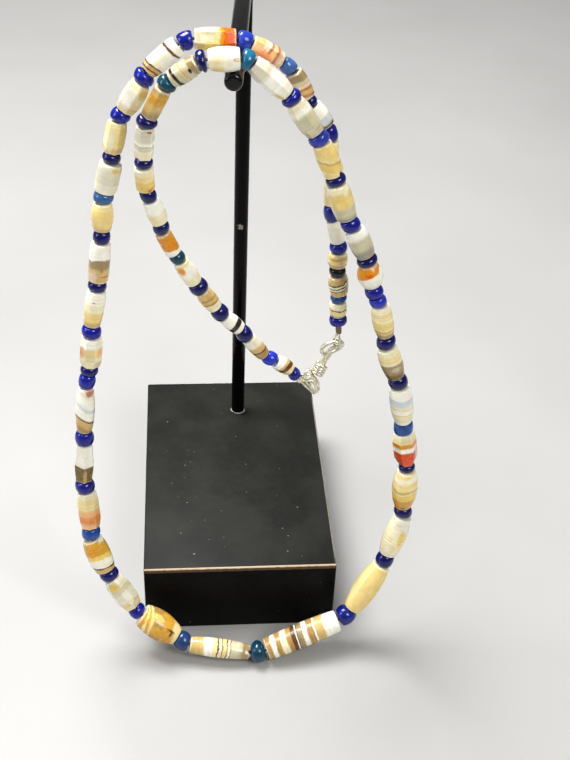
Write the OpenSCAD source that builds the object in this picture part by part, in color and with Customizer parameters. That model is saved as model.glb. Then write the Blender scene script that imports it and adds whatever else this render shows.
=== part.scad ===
// Agate bead necklace on a plain display stand, in millimetres.
// The string is one closed strand, wound twice over the stand's peg and fastened by a wire hook.
// The origin is at the middle of the base's underside, +Z is up and -Y is the front.

/* [Stand] */
// Width of the base block, left to right
base_w = 63.5; // [60:0.5:66]
// Depth of the base block, front to back
base_d = 98; // [90:0.5:98]
// Height of the base block
base_h = 28.5; // [24:0.5:30]
// Bevel on the base's upright corners
base_bevel = 0.6; // [0.3:0.1:2]
// Thickness of the upright rod and of the peg
rod_d = 4.8; // [4:0.1:4.8]
// Height of the rod's top above the surface
rod_top = 199; // [198:0.5:204]
// Depth of the rod's socket in the base
socket_depth = 14; // [8:1:20]
// Height of the peg's centre line
peg_z = 194.3; // [194:0.1:194.4]

/* [String] */
// Clear space between two beads
bead_gap = 0.2; // [0.15:0.05:0.3]
// Drilled hole through each bead
bore_d = 1.6; // [1.4:0.1:2]
// Thread through the beads
thread_d = 0.8; // [0.6:0.1:1]

/* [Clasp] */
// Silver wire of the hook and its coil
wire_d = 0.8; // [0.6:0.05:0.85]
// Finer wire of the eyelet
eyelet_wire_d = 0.6; // [0.5:0.05:0.65]
// Outer width of the coil round the hook's neck
coil_d = 3.4; // [3:0.1:3.6]
// Turns in the coil
coil_turns = 4.5; // [3:0.5:5]
// Outer width of the crimp at each end of the thread
crimp_d = 1.9; // [1.7:0.1:2.2]

/* [Hidden] */
$fn = 48;

// Seating clearance between two stand pieces
seat = 0.1;
// Where the rod stands, and the two ends of the peg's centre line
rod_x = 2.5;
rod_y = 32.5;
peg_tip_x = -4;
peg_tip_y = -41;
// The peg's thin tenon, which goes into the rod
tenon_d = 2.4;

// Colours of the beads
MILK = "#eeebe4";
IVORY = "#e9e2cd";
CREAM = "#e0cfa8";
HONEY = "#c9a063";
PEACH = "#dfb79a";
ORANGE = "#c8662c";
BROWN = "#8a6647";
GREY = "#c3c1bb";
NAVY = "#1b2260";
ROYAL = "#2432a8";
STEEL = "#34527f";
TEAL = "#0f4b52";

// One row per bead, in string order from the clasp's loop round to its eyelet.
// Glass spacers: [colour, pitch along the string, width].
// Agates: [colour, pitch, width, width of the first end, width of the last end, flats or 0 if round].
BEADS = [
    // Inner loop, from the clasp up the left side
    [ROYAL, 3.5, 4],
    [MILK, 6.5, 4.8, 3.9, 4.3, 0],
    [ROYAL, 4, 4.7],
    [CREAM, 8.5, 4.8, 4, 4.2, 0],
    [NAVY, 4, 5],
    [MILK, 7, 4.9, 4.2, 4.2, 0],
    [NAVY, 4, 5.2],
    [HONEY, 7.5, 5.2, 4.2, 4.2, 0],
    [NAVY, 3.5, 5.7],
    [MILK, 8.5, 5.4, 4.6, 4.4, 0],
    [TEAL, 3, 4.5],
    [ORANGE, 8, 4.7, 4.4, 4.4, 0],
    [NAVY, 3, 4.7],
    [IVORY, 7.5, 5.4, 4.6, 4.4, 0],
    [NAVY, 3.5, 4.6],
    [IVORY, 7.5, 5.3, 4.9, 5.2, 0],
    [NAVY, 2.5, 5],
    [GREY, 9.5, 5.7, 4.8, 4.8, 6],
    [NAVY, 2.5, 5.6],
    [HONEY, 9.5, 5.6, 4.7, 4.9, 6],
    [TEAL, 2.5, 5.3],
    [GREY, 8.5, 5.5, 4.6, 4.6, 0],
    [NAVY, 2, 5.9],
    [MILK, 9, 6.4, 5, 5.4, 0],
    [TEAL, 2.5, 5.7],
    // Outer loop, down the right side
    [MILK, 12.5, 6.5, 4.6, 4.6, 8],
    [ROYAL, 2.5, 5.6],
    [GREY, 10.5, 6.6, 5, 5, 8],
    [ROYAL, 3, 5.7],
    [HONEY, 10, 6, 5, 5.2, 0],
    [NAVY, 2.5, 5.6],
    [IVORY, 11, 6.6, 5.6, 5.4, 0],
    [ROYAL, 3.5, 5.4],
    [GREY, 9.5, 6.4, 5.4, 5.2, 0],
    [NAVY, 2.5, 6.1],
    [ORANGE, 7.5, 7.3, 4.6, 4.6, 0],
    [ROYAL, 3.5, 5.4],
    [ROYAL, 3, 5.1],
    [IVORY, 11, 6.2, 5.2, 4.6, 0],
    [NAVY, 3.5, 5.8],
    [CREAM, 11.5, 6.8, 5.8, 5.2, 0],
    [NAVY, 4, 6],
    [MILK, 13.5, 7.1, 5.9, 4.9, 0],
    [STEEL, 3.5, 6],
    [PEACH, 12.5, 7.6, 6.2, 4.8, 6],
    [NAVY, 2.5, 5.3],
    [HONEY, 15.5, 8.2, 6, 5.2, 0],
    [NAVY, 3.5, 5.8],
    [IVORY, 15.5, 7.6, 5.8, 5.6, 0],
    [NAVY, 4.5, 5.9],
    [CREAM, 19.5, 8.2, 6, 6, 0],
    // Along the bottom, in front of the base
    [STEEL, 5.5, 7],
    [BROWN, 26.5, 8.3, 7.3, 7.3, 0],
    [TEAL, 5, 7.6],
    [CREAM, 20.5, 6.4, 4.8, 5.4, 0],
    [STEEL, 4.5, 6.3],
    [HONEY, 14.5, 9.6, 6, 7.4, 0],
    [NAVY, 3.5, 5.6],
    // Up the left side
    [GREY, 12.5, 8.6, 6.2, 6.2, 6],
    [NAVY, 3.5, 6.2],
    [HONEY, 13, 7.9, 6.2, 6.2, 0],
    [STEEL, 4, 6.1],
    [PEACH, 13.5, 7.5, 5.8, 6, 8],
    [ROYAL, 4, 6.3],
    [CREAM, 13.5, 7.1, 5.4, 5.4, 6],
    [ROYAL, 4.5, 5.8],
    [MILK, 15.5, 5.8, 4.4, 4.4, 0],
    [ROYAL, 4.5, 5.1],
    [ROYAL, 3, 5.3],
    [PEACH, 10, 7.4, 5.8, 6, 8],
    [ROYAL, 3.5, 5.8],
    [IVORY, 11.5, 5.8, 4.6, 5.2, 0],
    [NAVY, 3, 5.4],
    [GREY, 12, 5.9, 5.4, 5.4, 0],
    [NAVY, 3.5, 5],
    [CREAM, 8.5, 6.2, 4.6, 5, 0],
    [STEEL, 3, 5.7],
    [GREY, 9, 6.4, 5.8, 6, 0],
    [NAVY, 2.5, 5.1],
    [CREAM, 9.5, 6.2, 5, 5, 6],
    [NAVY, 3, 5.5],
    [HONEY, 9.5, 7.1, 5.2, 5.2, 6],
    [ROYAL, 3, 5.7],
    [MILK, 11.5, 5.7, 4.6, 5, 0],
    [ROYAL, 3.5, 5.1],
    [PEACH, 11.5, 6.3, 5.2, 5.2, 6],
    [ROYAL, 3.5, 5.4],
    // Inner loop, down the right side to the clasp
    [PEACH, 9.5, 6.2, 4.8, 4.8, 6],
    [ROYAL, 3.5, 4.4],
    [PEACH, 8.5, 5.3, 4.6, 4.4, 0],
    [NAVY, 2.5, 4],
    [GREY, 7.5, 5.4, 4.6, 4.4, 0],
    [ROYAL, 4, 4.6],
    [CREAM, 8, 4.6, 4, 4, 0],
    [ROYAL, 2.5, 4.7],
    [CREAM, 9, 4.7, 4, 4, 0],
    [ROYAL, 4.5, 5.1],
    [IVORY, 7.5, 4.8, 4.2, 4.2, 0],
    [ROYAL, 3, 5.2],
    [HONEY, 5, 5.8, 4.6, 4.6, 0],
    [NAVY, 2.5, 4.9],
    [CREAM, 6.5, 5.9, 5, 5, 0],
    [STEEL, 2.5, 5],
    [IVORY, 5, 5.3, 4.6, 4.4, 0],
    [ROYAL, 3, 5.4]
];

// The strand's centre line [x, y, z], with a point at most beads, each stretch hanging from the
// peg or lying towards the front.
INNER_LEFT = [
    [17, -32.5, 94.5], [13, -33, 100], [8, -33, 102.5], [3.5, -33, 107], [0.5, -33.5, 112],
    [-3, -33.5, 116.5], [-7, -34, 120], [-9.5, -34, 125], [-13, -34.5, 129.5],
    [-16, -34.5, 135], [-18.5, -35, 139.5], [-21.5, -35, 144], [-24, -36, 154.5],
    [-26, -36, 159.5], [-27.5, -36.5, 166], [-27, -37, 170], [-27, -37.5, 176.5],
    [-26, -37.5, 182], [-23.5, -38, 187], [-21, -38.5, 192.5], [-16, -39, 197]
];
FRONT_OVER_PEG = [
    [-12.5, -39, 199], [-6, -39, 200.5], [-1.5, -39, 200], [5.5, -39.5, 195.5]
];
OUTER_RIGHT = [
    [11, -39.5, 189.5], [18.5, -40, 178.5], [21, -40, 173.5], [23.5, -40.5, 167],
    [24.5, -41, 161.5], [28.5, -41.5, 153.5], [31.5, -41.5, 149.5], [33.5, -42, 143],
    [34.5, -42, 138.5], [36.5, -42.5, 132], [40.5, -43, 123], [41, -43.5, 116],
    [42, -44, 109.5], [46, -44, 101.5], [48, -44.5, 93.5], [49, -45, 85], [49.5, -46, 77],
    [51.5, -46.5, 68.5], [49, -47, 61.5], [52, -48, 50.5], [50, -49.5, 42], [46.5, -51.5, 32],
    [42.5, -53, 22.5]
];
BOTTOM = [
    [34.5, -57, 12.5], [20.5, -60.5, 6.5], [5, -64, 4], [-7.5, -63.5, 4.5], [-20.5, -60.5, 7.5],
    [-25.5, -57.5, 12], [-34, -55.5, 16]
];
OUTER_LEFT = [
    [-38, -52.5, 22.5], [-42.5, -50.5, 28.5], [-46.5, -48.5, 36.5], [-48, -46.5, 43.5],
    [-47, -44.5, 53], [-49, -43, 61], [-48.5, -41.5, 70], [-48, -40.5, 79],
    [-48, -39, 89], [-46, -37.5, 99.5], [-44, -36.5, 109], [-44, -36, 115.5],
    [-43, -35, 123], [-41.5, -34, 130], [-41, -33.5, 137.5], [-39.5, -32.5, 145],
    [-38.5, -31, 157], [-36.5, -30.5, 162.5], [-35, -29.5, 174.5], [-33, -29, 180],
    [-28, -29, 185], [-26.5, -28.5, 190.5], [-22, -28, 196]
];
REAR_OVER_PEG = [
    [-15, -27.5, 200], [-7.5, -27.5, 201], [0, -27.5, 199.5], [4.5, -27.5, 197]
];
INNER_RIGHT = [
    [11, -28, 193], [15, -28, 188], [16.5, -28.5, 184], [19.5, -28.5, 180],
    [23, -29, 174], [22.5, -29, 168.5], [23.5, -29.5, 163.5], [24, -29.5, 158],
    [24.5, -30, 151], [26, -30.5, 144.5], [27, -30.5, 140.5], [27, -31, 133.5],
    [28, -31.5, 127], [28, -31.5, 119.5], [28.5, -32, 114]
];
ROUTE = concat(INNER_LEFT, FRONT_OVER_PEG, OUTER_RIGHT, BOTTOM, OUTER_LEFT, REAR_OVER_PEG,
    INNER_RIGHT);

// The clasp lies in one upright plane. Its outlines are [x, z] points in that plane.
clasp_y = -32.5;
// Hook, from its tip over the bow to the neck
HOOK = [
    [24.4, 103.6], [23.9, 105], [24.6, 106.4], [26.6, 107.6], [29.2, 107.9], [30.5, 107],
    [29.9, 105.3], [28.3, 103.9], [26.4, 102.9], [25, 101], [24, 98.4]
];
// Middle line of the coil, from the neck down
COIL = [[24.2, 99.2], [23.2, 96.1]];
// Eye below the coil, which holds the loop
EYE_CENTRE = [20.6, 95.7];
eye_r = 1.7;
// How far the eye's two sides lean out of the clasp's plane
eye_lean = 1.25;
// Flat loop, which starts beside the first bead
LOOP = [
    [18.3, 94.9], [18.4, 93], [19.6, 91.3], [21.2, 89.5], [22.6, 88.3], [23.7, 89.2],
    [23.7, 91.2], [23, 93.4], [21.9, 94.8], [20.2, 95.5]
];
// Eyelet, a drop-shaped wire through the hook's bow
EYELET = [
    [28.5, 110.8], [27.8, 108.7], [27.6, 107], [28.4, 105.4], [29.3, 106.7], [29.2, 108.7]
];
// How far the eyelet's two sides lean out of the clasp's plane
eyelet_lean = 1;

// Samples between two points of the route, of the clasp's wires and along one turn of the coil
route_steps = 6;
clasp_steps = 3;
coil_steps = 14;
// Facets round a wire
wire_sides = 6;
// Direction that runs across the clasp's plane
across_clasp = [0, 1, 0];

// A glass spacer's width at its end faces, as a share of its full width
glass_end = 0.68;
// The shares of a spacer's width and of an agate's end at which they meet a neighbour on a bend
glass_rim = 0.7;
agate_rim = 0.76;

// Row numbers, from 0: the first and last agates that have their own node, and the first and last
// beads of the outer loop
FIRST_MAIN = 7;
LAST_MAIN = 87;
FIRST_OUTER = 24;
LAST_OUTER = 86;

function is_agate(row) = len(row) > 3;
function in_main(i) = i >= FIRST_MAIN && i <= LAST_MAIN;
function in_outer(i) = i >= FIRST_OUTER && i <= LAST_OUTER;
AGATES = [for (i = [0:len(BEADS) - 1]) if (is_agate(BEADS[i])) i];
SPACERS = [for (i = [0:len(BEADS) - 1]) if (!is_agate(BEADS[i])) i];
MAIN_AGATES = [for (i = AGATES) if (in_main(i)) i];
END_AGATES = [for (i = AGATES) if (!in_main(i)) i];
OUTER_SPACERS = [for (i = SPACERS) if (in_outer(i)) i];
INNER_SPACERS = [for (i = SPACERS) if (!in_outer(i)) i];

function unit(v) = v / norm(v);
function sum_to(values, n, i = 0, total = 0) =
    i >= n ? total : sum_to(values, n, i + 1, total + values[i]);

// Direction of a smooth curve at point i, weighted by the spans beside it
function heading(p, i, closed) =
    let (
        n = len(p),
        before = p[i] - p[closed ? (i + n - 1) % n : max(i - 1, 0)],
        after = p[closed ? (i + 1) % n : min(i + 1, n - 1)] - p[i],
        a = norm(before),
        b = norm(after)
    )
    a == 0 ? after / b : b == 0 ? before / a : (before / a * b + after / b * a) / (a + b);

// Point at fraction t of the cubic span from a to b
function on_span(a, b, from, to, t) =
    let (h = norm(b - a))
    a * (2 * pow(t, 3) - 3 * pow(t, 2) + 1) + from * h * (pow(t, 3) - 2 * pow(t, 2) + t)
    + b * (3 * pow(t, 2) - 2 * pow(t, 3)) + to * h * (pow(t, 3) - pow(t, 2));

function curve(p, steps, closed = false) =
    let (n = len(p), spans = closed ? n : n - 1)
    concat(
        [for (i = [0:spans - 1], k = [0:steps - 1])
            on_span(p[i], p[(i + 1) % n], heading(p, i, closed), heading(p, (i + 1) % n, closed),
                k / steps)],
        closed ? [] : [p[n - 1]]
    );

// Length of the path up to each of its points
function run_lengths(p) = [
    for (i = 0, s = 0; i < len(p); s = s + (i + 1 < len(p) ? norm(p[i + 1] - p[i]) : 0), i = i + 1)
        s
];

// Joints between the beads, at their pitches along the route
LINE = curve(ROUTE, route_steps);
LINE_AT = run_lengths(LINE);
line_length = LINE_AT[len(LINE_AT) - 1];
PITCHES = [for (row = BEADS) row[1]];
string_length = sum_to(PITCHES, len(PITCHES));
AXES = [for (axis = [0:2]) [for (i = [0:len(LINE) - 1]) [LINE_AT[i], LINE[i][axis]]]];
function on_route(s) = [for (axis = [0:2]) lookup(s, AXES[axis])];
JOINTS = [for (i = [0:len(BEADS)]) on_route(sum_to(PITCHES, i) * line_length / string_length)];

// Half of the bend at joint i
function half_bend(i) =
    i == 0 || i == len(BEADS) ? 0
    : acos(min(1, unit(JOINTS[i] - JOINTS[i - 1]) * unit(JOINTS[i + 1] - JOINTS[i]))) / 2;

// How far a bead's end of radius r stays back from joint i
function setback(i, r) = bead_gap / 2 + r * tan(half_bend(i));

module between(a, b) {
    v = b - a;
    translate(a) rotate([0, acos(v[2] / norm(v)), atan2(v[1], v[0])]) children();
}

// Solid through rings of points that all have the same count
module loft(rings, closed = false) {
    n = len(rings[0]);
    last = len(rings) - 1;
    polyhedron(
        points = [for (ring = rings) each ring],
        faces = concat(
            [for (k = [0:closed ? last : last - 1], j = [0:n - 1])
                let (next = (k + 1) % len(rings), side = (j + 1) % n)
                [k * n + j, next * n + j, next * n + side, k * n + side]],
            closed ? [] : [[for (j = [0:n - 1]) j], [for (j = [n - 1:-1:0]) last * n + j]]
        )
    );
}

// Wire along a path, its facets squared to the direction "square_to"
module wire(path, d, square_to = across_clasp, closed = false) {
    n = len(path);
    loft([
        for (i = [0:n - 1])
            let (
                t = unit(path[closed ? (i + 1) % n : min(i + 1, n - 1)]
                    - path[closed ? (i + n - 1) % n : max(i - 1, 0)]),
                across = unit(cross(square_to, t)),
                along = cross(t, across)
            )
            [for (j = [0:wire_sides - 1])
                path[i] + d / 2 * (cos(360 * j / wire_sides) * across
                    + sin(360 * j / wire_sides) * along)]
    ], closed);
}

// Radius of an agate at fraction t of its length
function belly(row, t) =
    let (ends = row[3] + (row[4] - row[3]) * t, middle = (row[3] + row[4]) / 2)
    (ends + (row[2] - middle) * (1 - pow(2 * t - 1, 2))) / 2;

module round_agate(row, length) {
    rotate_extrude() polygon(concat(
        [[bore_d / 2, 0]],
        [for (t = [0, 0.2, 0.5, 0.8, 1]) [belly(row, t), t * length]],
        [[bore_d / 2, length]]
    ));
}

module cut_agate(row, length) {
    difference() {
        loft([
            for (t = [0, 0.25, 0.75, 1])
                [for (j = [0:row[5] - 1])
                    let (turn = 360 * (j + 0.5) / row[5])
                    [belly(row, t) * cos(turn), belly(row, t) * sin(turn), t * length]]
        ]);
        translate([0, 0, -1]) cylinder(d = bore_d, h = length + 2);
    }
}

module glass_ring(width, length) {
    rotate_extrude() polygon(concat(
        [[bore_d / 2, 0]],
        [for (t = [0, 0.12, 0.35, 0.65, 0.88, 1])
            [width / 2 * (glass_end + (1 - glass_end) * sqrt(1 - pow(2 * t - 1, 2))), t * length]],
        [[bore_d / 2, length]]
    ));
}

// Bead i, set back from its two joints
module bead(i) {
    row = BEADS[i];
    first_r = (is_agate(row) ? row[3] * agate_rim : row[2] * glass_rim) / 2;
    last_r = (is_agate(row) ? row[4] * agate_rim : row[2] * glass_rim) / 2;
    first = setback(i, first_r);
    length = norm(JOINTS[i + 1] - JOINTS[i]) - first - setback(i + 1, last_r);
    between(JOINTS[i], JOINTS[i + 1]) translate([0, 0, first]) color(row[0])
        if (!is_agate(row)) glass_ring(row[2], length);
        else if (row[5] == 0) round_agate(row, length);
        else cut_agate(row, length);
}

module beads(rows) {
    for (i = rows) bead(i);
}

// A point [x, z] of the clasp, with an offset from the clasp's plane
function on_clasp(p, offset = 0) = [p[0], clasp_y + offset, p[1]];

// Length of the loop's crimp and of the eyelet's, and their closed ends' thickness
crimp_h = 1.8;
eyelet_crimp_h = 2.8;
crimp_wall = 0.4;
// Point beyond a, on the line from b to a
function leaving(a, b, distance) = a + unit(a - b) * distance;
LOOP_CRIMP = [for (s = [bead_gap, crimp_h]) leaving(JOINTS[0], JOINTS[1], s)];
EYELET_CRIMP = [for (s = [bead_gap, eyelet_crimp_h + bead_gap])
    leaving(JOINTS[len(BEADS)], JOINTS[len(BEADS) - 1], s)];

// A crimp with the wire that it holds, and a blind hole for the thread
module crimped(ends) {
    length = norm(ends[1] - ends[0]);
    difference() {
        union() {
            between(ends[0], ends[1]) cylinder(d = crimp_d, h = length);
            children();
        }
        between(ends[0], ends[1]) translate([0, 0, -1])
            cylinder(d = thread_d + 2 * seat, h = length - crimp_wall + 1);
    }
}

module thread() {
    spare = seat + crimp_wall;
    color("#d8d3c4") wire(concat(
        [leaving(LOOP_CRIMP[1], LOOP_CRIMP[0], -spare)],
        JOINTS,
        [leaving(EYELET_CRIMP[1], EYELET_CRIMP[0], -spare)]
    ), thread_d);
}

module hook_clasp() {
    axis = unit(on_clasp(COIL[1]) - on_clasp(COIL[0]));
    coil_length = norm(COIL[1] - COIL[0]);
    side = unit(cross(across_clasp, axis));
    steps = coil_steps * coil_turns;
    // The two strands of the hook overlap a little, and so do the coil and its core
    strand = 0.4 * wire_d;
    core_d = coil_d - 1.6 * wire_d;
    color("silver") {
        for (offset = [-strand, strand])
            wire([for (p = curve(HOOK, clasp_steps)) on_clasp(p, offset)], wire_d);
        between(on_clasp(COIL[0]), on_clasp(COIL[1])) cylinder(d = core_d, h = coil_length);
        wire([
            for (k = [0:steps])
                let (turn = 360 * coil_turns * k / steps)
                on_clasp(COIL[0]) + axis * coil_length * k / steps
                + (coil_d - wire_d) / 2 * (cos(turn) * side + sin(turn) * across_clasp)
        ], wire_d, axis);
        wire([
            for (turn = [0:20:340])
                on_clasp(EYE_CENTRE + eye_r * [cos(turn), sin(turn)], eye_lean * cos(turn))
        ], wire_d, closed = true);
    }
}

module clasp_loop() {
    color("silver") crimped(LOOP_CRIMP)
        wire([for (p = curve(LOOP, clasp_steps, true)) on_clasp(p)], wire_d, closed = true);
}

module clasp_eyelet() {
    middle = (EYELET[1][0] + EYELET[5][0]) / 2;
    half = (EYELET[5][0] - EYELET[1][0]) / 2;
    color("silver") crimped(EYELET_CRIMP)
        wire([
            for (p = curve(EYELET, clasp_steps, true))
                on_clasp(p, -eyelet_lean * (p[0] - middle) / half)
        ], eyelet_wire_d, closed = true);
}

module stand_base() {
    color("#141414") difference() {
        translate([0, 0, base_h / 2]) intersection() {
            cube([base_w, base_d, base_h], center = true);
            rotate([0, 0, 45]) cube([
                (base_w + base_d) / sqrt(2) - base_bevel,
                (base_w + base_d) / sqrt(2) - base_bevel,
                base_h + 2
            ], center = true);
        }
        translate([rod_x, rod_y, base_h - socket_depth])
            cylinder(d = rod_d + 2 * seat, h = socket_depth + 1);
    }
}

peg_tip = [peg_tip_x, peg_tip_y, peg_z];
peg_foot = [rod_x, rod_y, peg_z];

module stand_rod() {
    foot = base_h - socket_depth + seat;
    color("#1b1b1b") difference() {
        translate([rod_x, rod_y, foot]) cylinder(d = rod_d, h = rod_top - foot);
        between(peg_foot, peg_tip) cylinder(d = tenon_d + 2 * seat, h = rod_d);
        between(peg_foot, peg_tip) sphere(d = tenon_d + 2 * seat);
    }
}

module stand_peg() {
    color("#1b1b1b") {
        difference() {
            between(peg_tip, peg_foot) cylinder(d = rod_d, h = norm(peg_foot - peg_tip));
            translate([rod_x, rod_y, peg_z - rod_d]) cylinder(d = rod_d + 2 * seat, h = 2 * rod_d);
        }
        between(peg_foot, peg_tip) cylinder(d = tenon_d, h = rod_d);
    }
}

stand_base();
stand_rod();
stand_peg();
thread();
hook_clasp();
clasp_loop();
clasp_eyelet();
for (n = [1:len(MAIN_AGATES)])
    bead(MAIN_AGATES[n - 1]);
beads(END_AGATES);  // clasp_end_agates
beads(OUTER_SPACERS);  // glass_beads_outer_loop
beads(INNER_SPACERS);  // glass_beads_inner_loop
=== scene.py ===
# Looks of an agate bead necklace on a black display stand, dressed around its CAD frame.
# The string is followed bead by bead from the clasp's loop round to its eyelet. A bead's own axes
# are z along the string, x towards the inside of the loop and y away from the camera.
import math
import random
from dataclasses import dataclass

import bmesh
import bpy
import numpy as np
from mathutils import Matrix, Vector


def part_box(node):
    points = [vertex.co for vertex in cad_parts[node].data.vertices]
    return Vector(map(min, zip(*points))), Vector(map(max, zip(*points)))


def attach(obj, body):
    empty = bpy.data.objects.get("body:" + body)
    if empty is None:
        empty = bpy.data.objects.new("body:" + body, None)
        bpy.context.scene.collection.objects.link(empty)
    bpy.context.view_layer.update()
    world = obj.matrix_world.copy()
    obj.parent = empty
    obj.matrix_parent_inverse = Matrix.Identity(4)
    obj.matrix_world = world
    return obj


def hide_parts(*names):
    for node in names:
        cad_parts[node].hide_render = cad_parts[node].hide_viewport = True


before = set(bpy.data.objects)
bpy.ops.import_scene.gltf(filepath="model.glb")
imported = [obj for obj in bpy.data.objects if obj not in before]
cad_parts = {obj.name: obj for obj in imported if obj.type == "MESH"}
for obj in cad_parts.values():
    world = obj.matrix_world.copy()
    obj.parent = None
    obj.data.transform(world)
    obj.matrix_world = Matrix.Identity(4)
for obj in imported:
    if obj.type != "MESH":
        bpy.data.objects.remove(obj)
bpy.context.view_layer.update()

MM = 0.001


# Camera at the photograph's viewing angle

PICTURE_HEIGHT = 760
FOCAL_PIXELS = 1211.3
SENSOR_HEIGHT = 36.0
CAMERA_AT = Vector((-16.8, -323.2, 322.6)) * MM
# In radians: its heading to the right, its look downwards and its roll
CAMERA_YAW = 0.1032
CAMERA_PITCH = 0.6647
CAMERA_ROLL = -0.0477
CAMERA_NEAREST = 0.01


def camera_turn():
    """The camera's rotation"""
    ahead = Vector((
        math.sin(CAMERA_YAW) * math.cos(CAMERA_PITCH),
        math.cos(CAMERA_YAW) * math.cos(CAMERA_PITCH),
        -math.sin(CAMERA_PITCH),
    ))
    level = Vector((math.cos(CAMERA_YAW), -math.sin(CAMERA_YAW), 0))
    down = ahead.cross(level)
    right = level * math.cos(CAMERA_ROLL) + down * math.sin(CAMERA_ROLL)
    below = down * math.cos(CAMERA_ROLL) - level * math.sin(CAMERA_ROLL)
    return Matrix((right, -below, -ahead)).transposed()


def make_camera():
    data = bpy.data.cameras.new("camera")
    data.sensor_fit = "VERTICAL"
    data.sensor_height = SENSOR_HEIGHT
    data.lens = FOCAL_PIXELS / PICTURE_HEIGHT * SENSOR_HEIGHT
    data.clip_start = CAMERA_NEAREST
    place = Matrix.Translation(CAMERA_AT) @ camera_turn().to_4x4()
    bpy.context.scene.camera = add_object("camera", data, place)


# Studio

FLOOR_SIZE = 4.0
FLOOR_CLOUDS = [(0.3, (0.37, 0.365, 0.355)), (0.7, (0.40, 0.395, 0.385))]
SKY = [(0.0, (0.14, 0.14, 0.14)), (0.9, (0.30, 0.30, 0.30))]
LIGHT_AIM = Vector((0, -0.02, 0.09))
# Each light's name, place, size across, size along and watts
LIGHTS = [
    ("key_light", (-0.22, 0.20, 0.80), 0.45, 0.35, 12.5),
    ("front_light", (0.40, -0.60, 0.75), 0.40, 0.40, 5.5),
    ("side_light", (-0.75, -0.20, 0.45), 0.30, 0.50, 2.0),
]


def make_sky():
    """Even light from all round, a little brighter from above"""
    world = bpy.data.worlds.new("studio")
    world.use_nodes = True
    tree = world.node_tree
    height = coordinate(new_node(tree, "TexCoord").outputs["Generated"], "Z")
    feed(tree.nodes["Background"].inputs["Color"], ramp(height, SKY))
    bpy.context.scene.world = world


def make_lights():
    for name, place, across, along, watts in LIGHTS:
        data = bpy.data.lights.new(name, "AREA")
        data.shape = "RECTANGLE"
        data.size = across
        data.size_y = along
        data.energy = watts
        lamp = add_object(name, data)
        lamp.location = place
        lamp.rotation_euler = (LIGHT_AIM - Vector(place)).to_track_quat("-Z", "Y").to_euler()


def pale_floor(tree):
    return {"Base Color": ramp(noise(object_mm(tree), 0.01, 3), FLOOR_CLOUDS), "Roughness": 0.55}


def make_floor():
    mesh = bpy.data.meshes.new("floor")
    half = FLOOR_SIZE / 2
    corners = [(-half, -half, 0), (half, -half, 0), (half, half, 0), (-half, half, 0)]
    mesh.from_pydata(corners, [], [(0, 1, 2, 3)])
    mesh.materials.append(new_material("floor", pale_floor))
    floor = add_object("floor", mesh)


# Shader nodes

# Where most of a noise's values lie
NOISE_RANGE = (0.3, 0.7)


def new_material(name, describe, *details):
    """A new material. Describe gives its main shader's inputs for a node tree and the details"""
    material = bpy.data.materials.new(name)
    material.use_nodes = True
    tree = material.node_tree
    for socket, value in describe(tree, *details).items():
        feed(tree.nodes["Principled BSDF"].inputs[socket], value)
    return material


def feed(socket, value):
    """Link a node's output to the socket, or set the socket to a plain value"""
    if isinstance(value, bpy.types.NodeSocket):
        socket.id_data.links.new(value, socket)
    else:
        socket.default_value = (*value, 1) if socket.type == "RGBA" else value


def new_node(tree, kind, **settings):
    made = tree.nodes.new("ShaderNode" + kind)
    for name, value in settings.items():
        setattr(made, name, value)
    return made


def derive(kind, inputs, output=0, **settings):
    """The output of a new node, in the tree of those of its inputs that are other nodes' outputs"""
    tree = next(value.id_data for value in inputs.values() if isinstance(value, bpy.types.NodeSocket))
    made = new_node(tree, kind, **settings)
    for name, value in inputs.items():
        feed(made.inputs[name], value)
    return made.outputs[output]


def calculate(operation, *values):
    return derive("Math", dict(enumerate(values)), operation=operation)


def product(first, *others):
    for other in others:
        first = calculate("MULTIPLY", first, other)
    return first


def nudge(value, by, share):
    """The value, moved by a share of another one"""
    return calculate("MULTIPLY_ADD", by, share, value)


def combine(operation, *values):
    """A calculation with vectors. The result is a number where the operation gives one"""
    output = "Value" if operation in ("DOT_PRODUCT", "LENGTH") else "Vector"
    return derive("VectorMath", dict(enumerate(values)), output, operation=operation)


def coordinate(place, axis):
    return derive("SeparateXYZ", {0: place}, axis)


def object_mm(tree):
    """A piece's own coordinates, in millimetres"""
    return combine("MULTIPLY", new_node(tree, "TexCoord").outputs["Object"], (1 / MM, 1 / MM, 1 / MM))


def noise(place, scale, detail, flat=False):
    """Noise from 0 to 1, in space or, where flat, along one number"""
    inputs = {"W" if flat else "Vector": place, "Scale": scale, "Detail": detail}
    return derive("TexNoise", inputs, "Fac", noise_dimensions="1D" if flat else "3D")


def rescale(value, low, high, to_low=0.0, to_high=1.0):
    """The value from low to high, turned softly into another range and held at its ends"""
    inputs = dict(enumerate((value, low, high, to_low, to_high)))
    return derive("MapRange", inputs, interpolation_type="SMOOTHSTEP")


def within(value, low, high, soft=0.1):
    """1 where the value lies between low and high, 0 outside, with a soft change between"""
    above = rescale(value, low - soft, low + soft)
    return product(above, rescale(value, high + soft, high - soft))


def mix(share, one, other, blend="MIX"):
    """One colour with a share of the other"""
    return derive("Mix", {0: share, 6: one, 7: other}, 2, data_type="RGBA", blend_type=blend)


def ramp(value, stops, soft=False):
    """Colours along a value, from a list of places and colours"""
    made = new_node(value.id_data, "ValToRGB")
    made.color_ramp.interpolation = "EASE" if soft else "LINEAR"
    elements = made.color_ramp.elements
    while len(elements) < len(stops):
        elements.new(0.5)
    for element, (place, colour) in zip(elements, stops):
        element.position = place
        element.color = (*colour, 1)
    feed(made.inputs[0], value)
    return made.outputs[0]


def brighten(colour, factor):
    return derive("HueSaturation", {"Color": colour, "Value": factor})


def bump(height, depth_mm, strength):
    inputs = {"Strength": strength, "Distance": depth_mm * MM, "Height": height}
    return derive("Bump", inputs, "Normal")


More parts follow.
